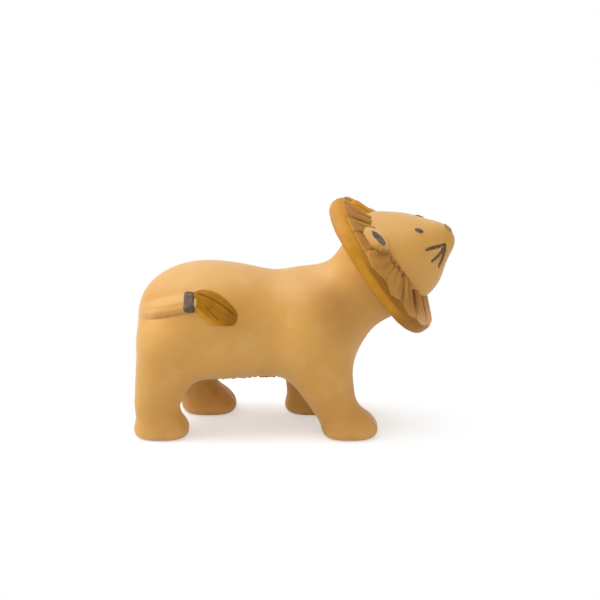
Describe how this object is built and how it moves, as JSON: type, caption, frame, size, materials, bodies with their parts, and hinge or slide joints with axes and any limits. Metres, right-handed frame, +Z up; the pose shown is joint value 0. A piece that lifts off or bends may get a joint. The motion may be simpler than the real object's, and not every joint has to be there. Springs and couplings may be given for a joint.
{
  "type": "rubber lion toy",
  "caption": "Soft moulded rubber lion for pretend play, walking on short thick legs, with a round carved mane, a raised head and its tail against its flank.",
  "frame": {"origin": "under the middle of the whole toy, at the level of its soles", "axes": "+X towards the head, +Y to the lion's left side, +Z up"},
  "size_m": [0.12, 0.0588, 0.0871],
  "materials": {
    "honey_rubber": "soft matt",
    "ochre_paint": "matt paint on rubber",
    "tan_paint": "matt paint on rubber",
    "tuft_paint": "matt paint on rubber",
    "grey_paint": "matt paint on rubber",
    "nose_paint": "matt paint on rubber"
  },
  "bodies": {
    "root": {"trunk": "honey_rubber", "front_right_leg": "honey_rubber", "front_left_leg": "honey_rubber", "rear_right_leg": "honey_rubber", "rear_left_leg": "honey_rubber", "head": "honey_rubber", "right_ear": "honey_rubber", "left_ear": "honey_rubber", "right_ear_lining": "grey_paint", "left_ear_lining": "grey_paint", "mane_disc": "ochre_paint", "mane_locks": "tan_paint", "right_eye": "grey_paint", "left_eye": "grey_paint", "right_upper_whisker": "grey_paint", "right_middle_whisker": "grey_paint", "right_lower_whisker": "grey_paint", "left_upper_whisker": "grey_paint", "left_middle_whisker": "grey_paint", "left_lower_whisker": "grey_paint", "nose": "nose_paint", "tail": "honey_rubber", "tail_band": "grey_paint", "tail_tuft": "tuft_paint"}
  },
  "joints": []
}
